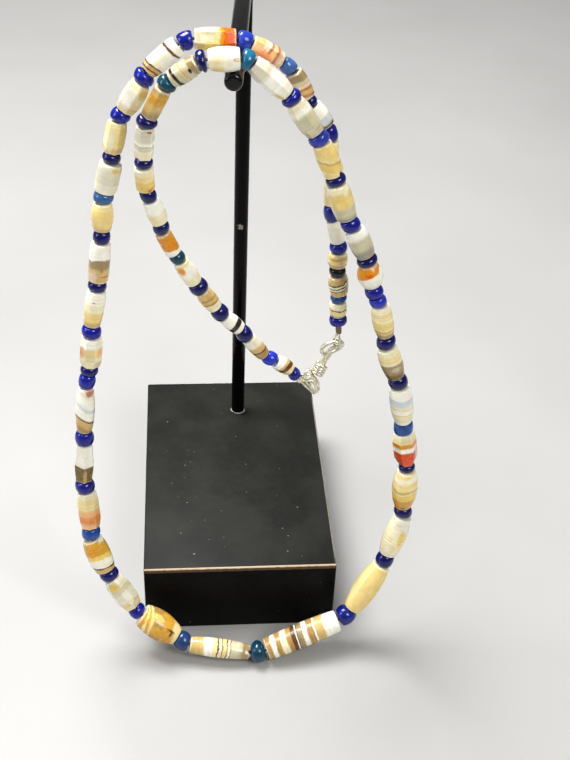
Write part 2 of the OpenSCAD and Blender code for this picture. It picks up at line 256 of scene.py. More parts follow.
# Colours

def light(red, green, blue):
    """A colour as it looks on a screen, from 0 to 255, turned into amounts of light"""
    shares = (red / 255, green / 255, blue / 255)
    return tuple(c / 12.92 if c < 0.04045 else ((c + 0.055) / 1.055) ** 2.4 for c in shares)


def words(text):
    """The rows of a text such as cream 0 .3, brown .36 .52, each a name and its numbers"""
    rows = [row.split() for row in text.split(",") if row]
    return [(name, *map(float, numbers)) for name, *numbers in rows]


def colours(text):
    return {name: numbers for name, *numbers in words(text)}


# Each colour of the stone: red, green and blue from 0 to 255, and how clear it is from 0 to 1
STONE = colours("""
    white 250 246 230 0, milk 244 239 218 .1, ivory 244 234 196 0, cream 242 222 160 0,
    straw 238 212 136 0, butter 236 206 112 0, sand 218 186 116 .1, tan 184 146 78 .1,
    honey 224 170 58 .15, amber 232 152 10 .15, coral 240 150 92 .05, orange 234 102 16 .1,
    red 226 82 6 .1, peach 242 188 124 0, pink 238 210 180 .05, rose 192 128 90 .1,
    brown 104 64 30 .1, dark 44 30 24 0, smoke 178 154 108 .25, olive 128 98 14 .25,
    grey 218 210 176 .15, ash 170 162 142 .2, ice 234 229 206 .15, blue 216 225 226 .1
""")

# Each colour of the glass: red, green and blue
GLASS = colours("""
    royal 15 25 140, cobalt 38 56 184, navy 8 10 92, ink 6 7 24, steel 26 72 164, sky 56 100 172,
    slate 34 60 104, teal 8 62 86, aqua 22 112 148
""")

# The spacers' glass, in string order
SPACERS = """royal cobalt navy navy navy teal navy navy navy navy teal navy aqua
royal cobalt navy royal navy royal cobalt navy navy steel navy navy navy royal teal slate
royal navy steel royal royal royal navy royal navy navy sky navy royal royal royal cobalt
sky navy royal royal royal royal ink steel royal""".split()


def stone(name):
    """A colour of the stone, in amounts of light"""
    return light(*STONE[name][:3])


# The beads, read from the frame

# Least cosines between directions that are the same, and between an end face and a guess of its way
SAME_WAY = 0.9995
LEAST_GUESS = 0.75
# The share of a bead's length that is its end, and of its greatest radius that is its widest part
END_SHARE = 0.02
WIDEST_SHARE = 0.999
# Metres between points that are one
WELD = 1e-6


class Bead:
    """One drilled bead: the middles of its two end faces, its length and its radii"""

    def __init__(self, node, faces, guess=None):
        self.node = node
        self.points = np.array([v.co for f in faces for v in f.verts])
        centres = np.array([f.calc_center_median() for f in faces])
        normals = np.array([f.normal for f in faces])
        areas = np.array([f.calc_area() for f in faces])
        facing = np.ones(len(areas), bool) if guess is None else normals @ np.array(guess) > LEAST_GUESS
        totals = {}
        for key, area in zip(map(tuple, np.round(normals[facing], 2)), areas[facing]):
            totals[key] = totals.get(key, 0) + area
        rough = np.array(max(totals, key=totals.get))
        rough = rough / np.linalg.norm(rough)
        ends = []
        for way in (-1, 1):
            flat = normals @ rough * way > SAME_WAY
            ends.append(Vector((centres[flat] * areas[flat, None]).sum(0) / areas[flat].sum()))
        self.set_ends(*ends)

    def set_ends(self, first, last):
        """Measure the bead along the line between the middles of its ends"""
        self.first = first
        self.last = last
        self.length = (last - first).length
        self.axis = (last - first).normalized()
        offset = self.points - np.array(first)
        along = offset @ np.array(self.axis)
        out = offset - along[:, None] * np.array(self.axis)
        reach = np.linalg.norm(out, axis=1)
        self.first_r = reach[along < END_SHARE * self.length].max()
        self.last_r = reach[along > (1 - END_SHARE) * self.length].max()
        self.widest = reach.max()
        self.corner = Vector(out[reach > WIDEST_SHARE * self.widest][0])

    def place(self):
        """The bead's own axes in the row frame, from its first end"""
        away = (self.first + self.last) / 2 - CAMERA_AT
        away = (away - away.dot(self.axis) * self.axis).normalized()
        inward = away.cross(self.axis)
        turn = Matrix((inward, away, self.axis)).transposed().to_4x4()
        return Matrix.Translation(self.first) @ turn


def islands(name, guess=None):
    """The separate beads of a CAD node"""
    mesh = bmesh.new()
    mesh.from_mesh(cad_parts[name].data)
    bmesh.ops.remove_doubles(mesh, verts=mesh.verts, dist=WELD)
    mesh.faces.ensure_lookup_table()
    seen = set()
    found = []
    for start in mesh.faces:
        if start.index in seen:
            continue
        seen.add(start.index)
        waiting = [start]
        part = []
        while waiting:
            face = waiting.pop()
            part.append(face)
            for edge in face.edges:
                for other in edge.link_faces:
                    if other.index not in seen:
                        seen.add(other.index)
                        waiting.append(other)
        found.append(Bead(name, part, guess))
    mesh.free()
    return found


def read_string():
    """All the beads in string order, each one beginning where the one before it ends"""
    main = [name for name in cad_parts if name.startswith("agate_bead_")]
    main.sort(key=lambda name: int(name.rsplit("_", 1)[1]))
    middles = [sum(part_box(name), Vector()) / 2 for name in main]
    beads = []
    for i, name in enumerate(main):
        guess = (middles[min(i + 1, len(main) - 1)] - middles[max(i - 1, 0)]).normalized()
        beads += islands(name, guess)
    for name in ("clasp_end_agates", "glass_beads_outer_loop", "glass_beads_inner_loop"):
        beads += islands(name)
    here = sum(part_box("clasp_loop"), Vector()) / 2
    row = []
    while beads:
        bead = min(beads, key=lambda b: min((b.first - here).length, (b.last - here).length))
        if (bead.last - here).length < (bead.first - here).length:
            bead.set_ends(bead.last, bead.first)
        beads.remove(bead)
        row.append(bead)
        here = bead.last
    return row


# Meshes

def add_object(name, data, place=Matrix.Identity(4)):
    thing = bpy.data.objects.new(name, data)
    thing.matrix_world = place
    bpy.context.scene.collection.objects.link(thing)
    return thing


def angles(count):
    """Angles all the way round, evenly spaced"""
    return np.linspace(0, 2 * math.pi, count, endpoint=False)


def circle(radius, height, angle):
    """A ring of points round the z axis, whose radius may change with the angle"""
    return np.stack([radius * np.cos(angle), radius * np.sin(angle), np.full(len(angle), height)], 1)


def skin(name, rings, material, place=Matrix.Identity(4), closed=False):
    """An object whose skin runs through rings of points, which meet end to end where closed"""
    count, around = rings.shape[:2]
    faces = []
    for i in range(count if closed else count - 1):
        n = (i + 1) % count
        for j in range(around):
            k = (j + 1) % around
            faces.append((i * around + j, i * around + k, n * around + k, n * around + j))
    if not closed:
        faces.append(tuple(range(around)))
        faces.append(tuple(range(count * around - 1, (count - 1) * around - 1, -1)))
    mesh = bpy.data.meshes.new(name)
    mesh.from_pydata(rings.reshape(-1, 3).tolist(), [], faces)
    turned = bmesh.new()
    turned.from_mesh(mesh)
    bmesh.ops.recalc_face_normals(turned, faces=turned.faces)
    turned.to_mesh(mesh)
    turned.free()
    mesh.shade_smooth()
    mesh.materials.append(material)
    return add_object(name, mesh, place)


def join(name, parts):
    with bpy.context.temp_override(active_object=parts[0], selected_editable_objects=parts):
        bpy.ops.object.join()
    parts[0].name = name
    return parts[0]


def dress(piece, *nodes):
    """The piece rides on the one body and stands for these CAD nodes"""
    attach(piece, "root")
    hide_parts(*nodes)


# Agates. Sizes are in mm, apart from a bead's own measures, which are in metres

# Points round a round and a cut bead, rows of body and rim, the rim's width and the bore's radius
AROUND_ROUND = 72
AROUND_CUT = 96
BODY_ROWS = 34
RIM_ROWS = 5
RIM = 0.3
BORE = 0.8
# How far a bore widens at its mouths, and over what depth
MOUTH = 0.15
MOUTH_DEPTH = 0.2
# The waves that make a bead uneven: how many in a turn, how far they twist, and how high they are
WAVES = (1, 2, 3, 5)
WAVE_TWIST = 3
WAVE_HEIGHT = 0.05
CUT_WAVE_SHARE = 0.3
FULL_TURN = 6.28
# How a cut bead's facets differ: in degrees, distance, where they end along the bead, and painted light and
# shade
FACET_TURN = 4
FLAT_SHARES = (0.97, 1.0)
TAPER_SHARES = (0.97, 1.03)
SHOULDER_MOVE = 0.02
PAINTED_FACET_SHADES = (0.84, 1.08)
# How sharply facets meet, and the least cosine to a facet's direction
FACET_SHARPNESS = 300
LEAST_FACING = 1e-3
# How steeply a chip's sides fall, and where on the axis it is pushed to: 0 the middle, 1 beside it
CHIP_CURVE = 0.6
CHIP_AIM = 0.6


@dataclass
class Look:
    """How one agate looks. Places along it run from 0 to 1, and the names of colours are STONE's"""
    # Each band's colour, start and end. Colours blend between the bands
    bands: str
    # Each spot's colour, place along, place across from -1 outside to 1 inside, half sizes along and across
    spots: str = ""
    # Degrees that the bands lean in the picture, and how far they wander
    tilt: float = 0
    wobble: float = 0.3
    # How strong the fine lines, the warm clouds and the shine are
    fine: float = 0.12
    warm: float = 0.5
    gloss: float = 0.45
    # Sides of a cut bead, 0 for a round one, and where its flats begin and end
    flats: int = 0
    shoulders: tuple = (0.25, 0.75)
    # How square the curve of a round bead's belly is
    full: float = 2
    uneven: float = 1
    # Each chip's place along, place across, size and depth
    chips: tuple = ()


# The agates' looks, by their place in the string
LOOKS = {
    2: Look("cream 0 .3, brown .36 .52, sand .58 .66, white .76 1", tilt=18, wobble=.5, uneven=2.5),
    4: Look("tan 0 .3, brown .33 .36, sand .4 .55, milk .7 1", tilt=12),
    6: Look("white 0 .2, dark .25 .46, white .5 1", tilt=-6, warm=.2),
    8: Look("ivory 0 .34, tan .4 .42, sand .46 .55, tan .62 .64, sand .7 1", tilt=6, fine=.3),
    10: Look("ivory 0 .3, white .4 1", spots="amber .8 -.5 1.6 1, cream .95 .2 1 2", warm=.3),
    12: Look("white 0 .2, amber .25 .8, honey .95 1", tilt=14, wobble=.6, warm=.2, gloss=.2, full=4),
    14: Look("ivory 0 .4, white .6 1"),
    16: Look("butter 0 .45, cream .55 .7, ivory .85 1", spots="honey .12 .5 1 1.2, brown .1 .4 .25 .5",
             full=4),
    18: Look("ivory 0 .3, ice .36 .42, grey .455 .47, white .5 .54, ice .62 1",
             spots="rose .93 .4 .4 .8", warm=.1, flats=6),
    20: Look("smoke 0 .12, sand .34 .44, honey .6 .75, tan .92 1", tilt=-15, gloss=.3, flats=6),
    22: Look("grey 0 .14, dark .18 .26, grey .3 .5, sand .53 .55, grey .6 .72, smoke .82 .95, tan 1",
             spots="dark .74 .25 .35 .6", tilt=-12, fine=.2),
    24: Look("ivory 0 .3, white .4 1", spots="cream .2 .8 2 1, sand .9 .1 1 .5, milk .91 .1 .6 .25"),
    26: Look("ice 0 .3, white .4 .85, ivory .95 1", spots="cream .9 .8 1.5 1", warm=.25, flats=8),
    28: Look("ivory 0 .12, white .2 .3, grey .4 1", fine=.15, flats=8),
    30: Look("straw 0 .28, cream .34 .42, sand .46 .49, butter .54 .7, cream .85 1", tilt=28, wobble=.8,
             chips=[(.93, -.85, 1.6, .8)]),
    32: Look("ivory 0 .1, straw .2 .5, grey .65 .8, ash .92 1",
             spots="butter .35 .1 1.6 1.2, ivory .15 -.5 1.2 .8", warm=.3),
    34: Look("white 0 .2, grey .35 .6, ash .8 1", warm=.1),
    36: Look("amber 0 .34, white .42 .75, ivory 1",
             spots="orange .3 .1 .5 1.2, dark .88 -.75 .5 .3, white .3 -.9 1.4 .7", tilt=-14, warm=.2,
             gloss=.2),
    39: Look("ivory 0 .1, cream .2 .28, ivory .32 .36, straw .42 .58, cream .63 .66, sand .7 .78, "
             "smoke .88 1", tilt=8, wobble=.6, fine=.4, warm=.2),
    41: Look("ivory 0 .12, cream .2 .34, ivory .38 .4, smoke .48 .7, olive .82 .88, brown .97 1",
             spots="grey .6 -.1 .9 1.4", tilt=6, warm=.3),
    43: Look("white 0 .18, blue .24 .32, milk .42 .46, cream .48 .49, white .53 .6, cream .65 .67, "
             "milk .72 .8, cream .83 .85, white .9 1", tilt=6, fine=.2, warm=.2),
    45: Look("ivory 0 .12, cream .18 .24, amber .28 .36, white .41 .5, red .55 .97",
             spots="pink .7 -.95 3 .7, rose .8 .9 2 .6", tilt=2, fine=.25, warm=.2, gloss=.25, flats=6),
    47: Look("cream 0 .06, white .1 .14, cream .18 .36, sand .4 .42, cream .46 .48, butter .52 .62, "
             "honey .7 1", spots="amber .88 .4 1 1.6, brown .92 0 .3 1", tilt=-6, wobble=.8, fine=.25),
    49: Look("milk 0 .2, ivory .35 .75, milk .9 1", spots="butter .45 -.6 3 .8, cream .75 -.3 1.5 .8",
             tilt=6, fine=.25, warm=.6),
    # On bead 51 the cream strip along the inner side is a painted highlight
    51: Look("straw 0 1", spots="butter .5 -.95 9 .8, cream .5 .6 9 1", fine=.03, warm=.3, uneven=.4),
    53: Look("white 0 .16, sand .2 .29, white .305 .315, tan .33 .4, white .42 .46, smoke .48 .54, "
             "dark .545 .55, white .56 .565, brown .575 .62, tan .635 .685, ivory .7 .77, tan .785 .84, "
             "white .86 .9, tan .925 1", tilt=4, wobble=.35, fine=.35, warm=.1, gloss=.05),
    55: Look("smoke 0 .08, grey .18 .32, brown .338 .34, ivory .35 .38, brown .396 .4, cream .412 .45, "
             "brown .468 .47, ivory .482 .52, brown .54 .545, cream .556 .6, white .64 .72, sand .82 1",
             wobble=.8, fine=.4, warm=.2, uneven=2, chips=[(.04, .2, 1.4, .5)]),
    57: Look("cream 0 .1, honey .2 .4, tan .5 .72, cream .78 .8, honey .84 .87, cream .9 .92, "
             "honey .95 1",
             spots="honey .5 -.5 3 1.4, butter .65 .4 2.5 1, brown .25 .1 1.6 .35, brown .2 -.1 .4 .9, "
                   "rose .3 0 .5 .5", tilt=-18, wobble=1.2, fine=.3, warm=.6, gloss=.25, uneven=2),
    59: Look("butter 0 .05, ice .08 .14, butter .17 .2, ice .25 .5, grey .6 .8, ice .9 1",
             spots="butter .82 -.4 1.5 1.4, white .4 .1 3 1.2", tilt=-6, warm=.5, flats=6),
    61: Look("sand 0 .12, brown .15 .18, white .21 .42, butter .48 .55, honey .62 .9, tan 1",
             spots="amber .72 -.5 1.2 1.2, white .95 .6 1 1.2", tilt=8, wobble=.8, fine=.2, gloss=.3),
    63: Look("peach 0 .14, coral .2 .36, peach .44 .5, cream .6 .8, ivory .9 1",
             spots="amber .27 0 .5 3.5", wobble=.6, fine=.15, warm=.1, flats=8),
    65: Look("olive 0 .44, white .48 1", spots="sand .2 .1 3 .5", tilt=3, warm=.1, gloss=.25, flats=6,
             shoulders=(.43, .43)),
    67: Look("tan 0 .1, sand .2 .3, brown .34 .345, white .39 .55, blue .6 .62, white .66 .8, milk .9 1",
             spots="rose .95 .5 1.3 1.2", tilt=28, wobble=.6, fine=.2, warm=.3),
    70: Look("ivory 0 .4, cream .5 .7, white .77 1",
             spots="peach .58 -.75 1.8 .9, peach .56 .75 1.6 .8, coral .58 -.9 1.2 .5", flats=8),
    72: Look("sand 0 .12, straw .2 .4, ivory .5 .6, white .75 1", spots="tan .75 -.1 .25 .4", fine=.2,
             warm=.2),
    74: Look("sand 0 .34, smoke .44 .6, white .64 .68, white .8 1",
             spots="pink .15 -.5 2 1.2, tan .4 .3 1.2 .4, rose .2 .6 .3 1.4", wobble=.9, warm=.2, full=4),
    76: Look("sand 0 .1, straw .2 .75, cream .88 1", warm=.2, uneven=.5),
    78: Look("milk 0 .3, ice .4 .8, milk .9 1", spots="butter .88 .5 .8 1", full=4),
    80: Look("sand 0 .15, cream .3 .5, cream .6 1", spots="ivory .4 -.4 3.5 1.4, butter .5 .7 3.5 1",
             warm=.3, flats=6),
    82: Look("cream 0 .3, ivory .5 1", spots="white .5 -.3 3 1.8, butter .8 .6 1.5 1", warm=.3, flats=6),
    84: Look("sand 0 .05, brown .07 .085, sand .12 .17, brown .19 .205, white .25 .74, brown .775 .8, "
             "white .84 1", tilt=-10, wobble=.5, full=4),
    86: Look("pink 0 .12, ivory .2 .4, cream .5 .56, amber .64 .66, orange .73 1",
             spots="straw .3 .6 3 1.2, grey .3 -.5 3 .8", wobble=.8, warm=.3, gloss=.3, flats=6),
    88: Look("peach 0 .2, ivory .3 .44, rose .5 .53, peach .58 .66, rose .71 .73, pink .82 1",
             spots="coral .4 .3 2 1.4", tilt=10, wobble=.8, fine=.25, flats=6),
    90: Look("smoke 0 .28, grey .36 .46, pink .5 .56, rose .6 .64, sand .7 .8, rose .86 .9, grey .95 1",
             tilt=10),
    92: Look("white 0 .4, blue .5 .75, brown .88 1"),
    94: Look("cream 0 .5, ivory .7 1"),
    96: Look("ivory 0 .5, cream .7 1"),
    98: Look("white 0 1"),
    100: Look("cream 0 .12, sand .22 .28, cream .36 .55, sand .66 .8, tan .9 1", fine=.3),
    102: Look("sand 0 .24, dark .29 .31, ivory .36 .44, dark .47 .49, ivory .53 .6, brown .63 .65, "
              "sand .7 1", tilt=-8, wobble=.8, fine=.35, uneven=3),
    104: Look("ivory 0 .34, dark .38 .41, cream .45 .78, dark .83 .86, white .89 .92, dark .96 1",
              tilt=8, wobble=.8),
}


def facet_distances(bead, look, dice):
    """For each side of a cut bead: its direction, and its flat's and two tapers' distances and slopes"""
    inward, away = (Vector(axis[:3]) for axis in bead.place().transposed()[:2])
    first_corner = math.atan2(bead.corner.dot(away), bead.corner.dot(inward))
    squeeze = math.cos(math.pi / look.flats)
    start, stop = look.shoulders
    sides = []
    for k in range(look.flats):
        turn = math.radians(dice.uniform(-FACET_TURN, FACET_TURN))
        angle = first_corner + math.pi * (2 * k + 1) / look.flats + turn
        flat = bead.widest * squeeze * dice.uniform(*FLAT_SHARES)
        first = bead.first_r * squeeze * dice.uniform(*TAPER_SHARES)
        last = bead.last_r * squeeze * dice.uniform(*TAPER_SHARES)
        rise = bead.length * (start + dice.uniform(-SHOULDER_MOVE, SHOULDER_MOVE))
        fall = bead.length * (1 - stop + dice.uniform(-SHOULDER_MOVE, SHOULDER_MOVE))
        sides.append((angle, flat, (first, (flat - first) / rise), (last, (flat - last) / fall)))
    return sides


def facet_reaches(bead, sides, t, angle):
    """How much nearer than the bead's greatest radius each facet's plane is, at one height and all angles"""
    z = t * bead.length
    reaches = []
    for side, flat, (first, first_slope), (last, last_slope) in sides:
        facing = np.maximum(np.cos(angle - side), LEAST_FACING) * bead.widest
        for distance in (flat, first + first_slope * z, last + last_slope * (bead.length - z)):
            reaches.append(facing / distance)
    return reaches


def painted_facet_shades(bead, sides, rings, dice):
    """A painted light and shade factor for every point of a cut bead's rings, alike within a facet"""
    shades = np.array([dice.uniform(*PAINTED_FACET_SHADES) for _ in range(3 * len(sides))])
    found = []
    for ring in rings:
        angle = np.arctan2(ring[:, 1], ring[:, 0])
        t = min(max(ring[0, 2] / bead.length, END_SHARE), 1 - END_SHARE)
        found.append(shades[np.argmax(facet_reaches(bead, sides, t, angle), axis=0)])
    return np.array(found)


def agate_radius(bead, look, dice):
    """A function that gives the radius at a share of the length and an angle, and a cut bead's sides"""
    waves = []
    for k in WAVES:
        waves.append((k, dice.uniform(0, FULL_TURN), dice.uniform(-WAVE_TWIST, WAVE_TWIST), look.uneven / k))

    def uneven(t, angle):
        waved = sum(high * np.cos(k * angle + phase + twist * t) for k, phase, twist, high in waves)
        return WAVE_HEIGHT * MM * waved

    if not look.flats:
        belly = bead.widest - (bead.first_r + bead.last_r) / 2

        def round_radius(t, angle):
            ends = bead.first_r + (bead.last_r - bead.first_r) * t
            return ends + belly * (1 - np.abs(2 * t - 1) ** look.full) + uneven(t, angle)

        return round_radius, None
    sides = facet_distances(bead, look, dice)

    def cut_radius(t, angle):
        total = sum(reach ** FACET_SHARPNESS for reach in facet_reaches(bead, sides, t, angle))
        return bead.widest * total ** (-1 / FACET_SHARPNESS) + CUT_WAVE_SHARE * uneven(t, angle)

    return cut_radius, sides


def cut_chip(rings, bead, radius, chip):
    """Press one chip into the rings of a bead's outside"""
    t, side, size, depth = chip
    r = float(radius(t, math.pi))
    centre = np.array([side * r, -math.sqrt(max(0, 1 - side * side)) * r, t * bead.length])
    near = 1 - (np.linalg.norm(rings - centre, axis=2) / (size * MM)) ** 2
    push = np.clip(near, 0, 1) ** CHIP_CURVE * depth * MM
    middle = np.array([0, 0, bead.length * (0.5 + CHIP_AIM * (t - 0.5))])
    inward = middle - rings
    inward /= np.linalg.norm(inward, axis=2)[..., None]
    rings += inward * push[..., None]


def agate_rings(bead, look, radius):
    """Rings over an agate's outside, round its rims, across its ends and through its bore"""
    angle = angles(AROUND_CUT if look.flats else AROUND_ROUND)
    length = bead.length
    rim = RIM * MM
    turns = np.linspace(0, math.pi / 2, RIM_ROWS)
    rounding = [(rim * (1 - math.sin(a)), rim * (1 - math.cos(a))) for a in turns[::-1]]
    rows = rounding + [(z, 0.0) for z in np.linspace(rim, length - rim, BODY_ROWS)[1:-1]]
    rows += [(length - z, inset) for z, inset in rounding[::-1]]
    outside = np.array([circle(radius(z / length, angle) - inset, z, angle) for z, inset in rows])
    for chip in look.chips:
        cut_chip(outside, bead, radius, chip)
    bore = BORE * MM
    mouth = bore + MOUTH * MM
    depth = MOUTH_DEPTH * MM
    rows = [(mouth, length), (bore, length - depth), (bore, depth), (mouth, 0.0)]
    return np.concatenate([outside, [circle(r, z, angle) for r, z in rows]])


# The stone's noises: how many waves in a mm, and how finely broken
DRIFT = (0.22, 3)
RIPPLE = (1.1, 2)
WARM_CLOUDS = (1.0, 4)
GREY_CLOUDS = (0.5, 3)
FINE_LINES = (1.7, 4)
WEAR = (0.7, 2)
# How far each bead's noises lie from those of the others
FAR = 90
# How far the bands may lean in depth, and how much more than the ripple the drift moves them
AWAY_LEAN = 0.12
DRIFT_SHARE = 3
# How much the drift and the ripple move a spot's rim, and how soft it is
SPOT_DRIFT = 1.2
SPOT_RIPPLE = 0.8
SPOT_RIM = (1.35, 0.65)
# What a stone's colour is multiplied by in its warmer clouds, their shape and where the noise shows them
WARMTH = (1.0, 0.84, 0.48)
WARM_STRETCH = (0.5, 0.5, 0.3)
WARM_RANGE = (0.45, 0.7)
# How far the painted highlight on a bead's end rims reaches, and how pale it is
RIM_HIGHLIGHT_RANGE = (0.15, 0.6)
RIM_HIGHLIGHT_SHARE = 0.5
GREY_SHARE = 0.35
# How rough a stone is without shine, how much its shine takes off, and how much its wear adds
DULL = 0.28
SHINE_SMOOTHS = 0.4
WEAR_ROUGHENS = 0.14


def agate_colour(look, bead, mm, own, dice):
    """The stone's colour and clearness: wandering bands, spots, warm clouds, painted rim highlights, fine
    lines
    """
    length = bead.length / MM
    drift = calculate("SUBTRACT", noise(own, *DRIFT), 0.5)
    ripple = calculate("SUBTRACT", noise(own, *RIPPLE), 0.5)
    lean = (math.tan(math.radians(look.tilt)), dice.uniform(-AWAY_LEAN, AWAY_LEAN), 1.0)
    along = combine("DOT_PRODUCT", mm, tuple(c / length for c in lean))
    along = nudge(along, drift, DRIFT_SHARE * look.wobble / length)
    along = nudge(along, ripple, look.wobble / length)
    bands = [(place, name) for name, *places in words(look.bands) for place in places]
    colour = ramp(along, [(place, stone(name)) for place, name in bands], soft=True)
    clear = ramp(along, [(place, (STONE[name][3],) * 3) for place, name in bands])
    for name, place, side, tall, wide in words(look.spots):
        centre = (side * bead.widest / MM, 0.0, place * length)
        reach = combine("SUBTRACT", mm, centre)
        reach = combine("LENGTH", combine("MULTIPLY", reach, (1 / wide, 0.0, 1 / tall)))
        reach = nudge(nudge(reach, drift, SPOT_DRIFT), ripple, SPOT_RIPPLE)
        colour = mix(rescale(reach, *SPOT_RIM), colour, stone(name))
    clouds = noise(combine("MULTIPLY", own, WARM_STRETCH), *WARM_CLOUDS)
    warm = product(rescale(clouds, *WARM_RANGE), look.warm)
    colour = mix(warm, colour, mix(1.0, colour, WARMTH, "MULTIPLY"))
    # Painted highlight: the rims at both ends are painted paler, as if they caught the light
    height = coordinate(mm, "Z")
    end = calculate("MINIMUM", height, calculate("SUBTRACT", length, height))
    pale = rescale(nudge(end, ripple, 1.0), *RIM_HIGHLIGHT_RANGE, RIM_HIGHLIGHT_SHARE, 0.0)
    colour = mix(pale, colour, stone("white"))
    lines = noise(product(along, length), *FINE_LINES, flat=True)
    grey = calculate("SUBTRACT", noise(own, *GREY_CLOUDS), 0.5)
    shade = nudge(nudge(1 - look.fine, lines, 2 * look.fine), grey, GREY_SHARE)
    # On cut beads each facet's painted light and shade brightens or darkens the colour
    if look.flats:
        facet = new_node(mm.id_data, "Attribute", attribute_name="facet")
        shade = product(shade, facet.outputs["Fac"])
    return brighten(colour, shade), clear


def agate_stone(tree, look, bead, dice):
    """Banded stone with a little depth, more or less polished"""
    mm = object_mm(tree)
    own = combine("ADD", mm, tuple(dice.uniform(0, FAR) for _ in range(3)))
    colour, clear = agate_colour(look, bead, mm, own, dice)
    wear = noise(own, *WEAR)
    dull = DULL - SHINE_SMOOTHS * look.gloss
    return {
        "Base Color": colour,
        "Transmission Weight": clear,
        "Subsurface Weight": 0.35,
        "Subsurface Radius": (1.0, 0.7, 0.4),
        "Subsurface Scale": 0.9 * MM,
        "IOR": 1.54,
        "Roughness": rescale(wear, 0.3, 0.75, dull, dull + WEAR_ROUGHENS),
        "Specular IOR Level": 0.35,
        "Coat Weight": look.gloss,
        "Coat Roughness": 0.09,
        "Normal": bump(wear, 0.05, 0.3),
    }


def make_agate(number, place_in_string, bead):
    look = LOOKS[place_in_string]
    dice = random.Random(place_in_string)
    name = f"agate_{number:02d}"
    radius, sides = agate_radius(bead, look, dice)
    rings = agate_rings(bead, look, radius)
    material = new_material(name, agate_stone, look, bead, dice)
    piece = skin(name, rings, material, bead.place(), closed=True)
    # Each facet gets its own painted light and shade
    if sides:
        facets = piece.data.attributes.new("facet", "FLOAT", "POINT")
        facets.data.foreach_set("value", painted_facet_shades(bead, sides, rings, dice).ravel())
    dress(piece, bead.node)


# Glass spacers

GLASS_AROUND = 48
GLASS_ROWS = 20
# The share of its greatest radius that a spacer keeps at its ends, and others by place in the string
GLASS_END = 0.68
GLASS_ENDS = {1: 0.5, 3: 0.5, 44: 0.9, 52: 0.5, 54: 0.42}
# Clear space between a spacer and the bead beside it, in mm
GLASS_GAP = 0.12
# How far a spacer's ends lean with the end faces of the beads beside it, from 0 to 1
GLASS_LEAN = 0.5
# How much a spacer is out of round, how much its bore widens at the ends, and where it has narrowed
GLASS_SQUASH = 0.015
GLASS_MOUTH = 1.2
GLASS_MOUTH_DEPTH = 0.15
GLASS_SHADES = (0.8, 1.25)
# Added to a spacer's place in the string to start its random numbers
GLASS_SEED = 500


def wound_glass(tree):
    """Wound glass, coloured bead by bead, with faint swirls in the colour and the skin"""
    mm = object_mm(tree)
    swirl = noise(mm, 0.4, 2)
    tone = new_node(tree, "Attribute", attribute_name="tone").outputs["Color"]
    return {
        "Base Color": brighten(tone, rescale(swirl, *NOISE_RANGE, 0.8, 1.2)),
        "Transmission Weight": 0.2,
        "IOR": 1.5,
        "Specular IOR Level": 0.3,
        "Roughness": rescale(noise(mm, 0.8, 2), *NOISE_RANGE, 0.14, 0.22),
        "Coat Weight": 0.3,
        "Coat Roughness": 0.1,
        "Normal": bump(swirl, 0.05, 0.2),
    }


def end_plane(bead, other, way):
    """Where a spacer ends beside another bead: a point and a normal, in the row frame"""
    own = bead.last if way > 0 else bead.first
    if other is None:
        return own, bead.axis
    its = other.first if way > 0 else other.last
    if "glass" in other.node:
        return (own + its) / 2 - way * bead.axis * GLASS_GAP / 2 * MM, (bead.axis + other.axis).normalized()
    return its - way * other.axis * GLASS_GAP * MM, other.axis


def glass_rings(bead, before, after, end_share, dice):
    """Rings over one spacer, in the row frame. Its ends lean with the end faces of the beads beside it"""
    angle = angles(GLASS_AROUND)
    profile = []
    for a in np.linspace(0, math.pi, GLASS_ROWS):
        share = end_share + (1 - end_share) * math.sin(a)
        profile.append(((1 - math.cos(a)) / 2, share * bead.widest))
    bore = BORE * MM
    mouth = bore * GLASS_MOUTH
    profile += [(1, mouth), (1 - GLASS_MOUTH_DEPTH, bore), (GLASS_MOUTH_DEPTH, bore), (0, mouth)]
    squash = 1 + GLASS_SQUASH * np.cos(2 * angle + dice.uniform(0, FULL_TURN))
    place = bead.place()
    home = place.inverted()
    planes = []
    for other, way in ((before, -1), (after, 1)):
        point, normal = end_plane(bead, other, way)
        planes.append((home @ point, home.to_3x3() @ normal))
    rings = []
    for t, r in profile:
        ring = circle(r * squash, 0, angle)
        x, y = ring[:, 0], ring[:, 1]
        low, high = (p.z - ((x - p.x) * n.x + (y - p.y) * n.y) / n.z for p, n in planes)
        low = GLASS_LEAN * low
        high = GLASS_LEAN * high + (1 - GLASS_LEAN) * bead.length
        ring[:, 2] = low + (high - low) * t
        rings.append(ring @ np.array(place)[:3, :3].T + np.array(place)[:3, 3])
    return np.array(rings)


def make_spacers(node, row):
    """All the spacers of one CAD node, as one piece. The row is the whole string"""
    material = new_material(node + "_glass", wound_glass)
    beads = enumerate(zip([None, *row], row, [*row[1:], None]))
    spacers = [(i, *three) for i, three in beads if "glass" in three[1].node]
    parts = []
    for (i, before, bead, after), tone in zip(spacers, SPACERS, strict=True):
        if bead.node != node:
            continue
        dice = random.Random(GLASS_SEED + i)
        rings = glass_rings(bead, before, after, GLASS_ENDS.get(i + 1, GLASS_END), dice)
        part = skin(f"{node}_{i}", rings, material, closed=True)
        colour = [c * dice.uniform(*GLASS_SHADES) for c in light(*GLASS[tone])]
        tinted = part.data.attributes.new("tone", "FLOAT_COLOR", "POINT")
        tinted.data.foreach_set("color", [*colour, 1.0] * len(part.data.vertices))
        parts.append(part)
    dress(join(node + "_glass", parts), node)


# Silver clasp. Points are [x, z] in the clasp's plane, in mm

CLASP_Y = -32.5
